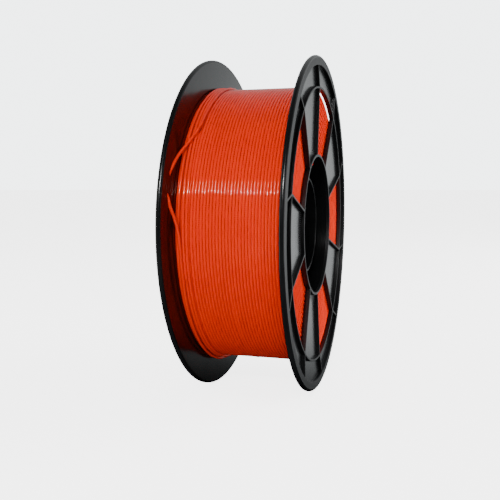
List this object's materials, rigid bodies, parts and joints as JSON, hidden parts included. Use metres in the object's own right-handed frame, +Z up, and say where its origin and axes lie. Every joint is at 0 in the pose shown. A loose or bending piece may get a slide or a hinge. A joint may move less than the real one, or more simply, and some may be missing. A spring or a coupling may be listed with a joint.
{
  "type": "filament spool",
  "caption": "Spool of 1.75 mm 3-D printing filament, wound between two spoked plastic flanges, with its loose end laced through tie holes.",
  "frame": {"origin": "on the axle, half way between the two flanges", "axes": "+X along the axle towards the right flange, +Z up as the spool stands on its rims"},
  "size_m": [0.066, 0.2, 0.2],
  "materials": {
    "spool_plastic": "semi-gloss",
    "filament": "gloss"
  },
  "bodies": {
    "root": {"right_half": "spool_plastic", "left_half": "spool_plastic", "inner_layers": "filament", "outer_turns": "filament", "top_turns_and_end": "filament"}
  },
  "joints": []
}
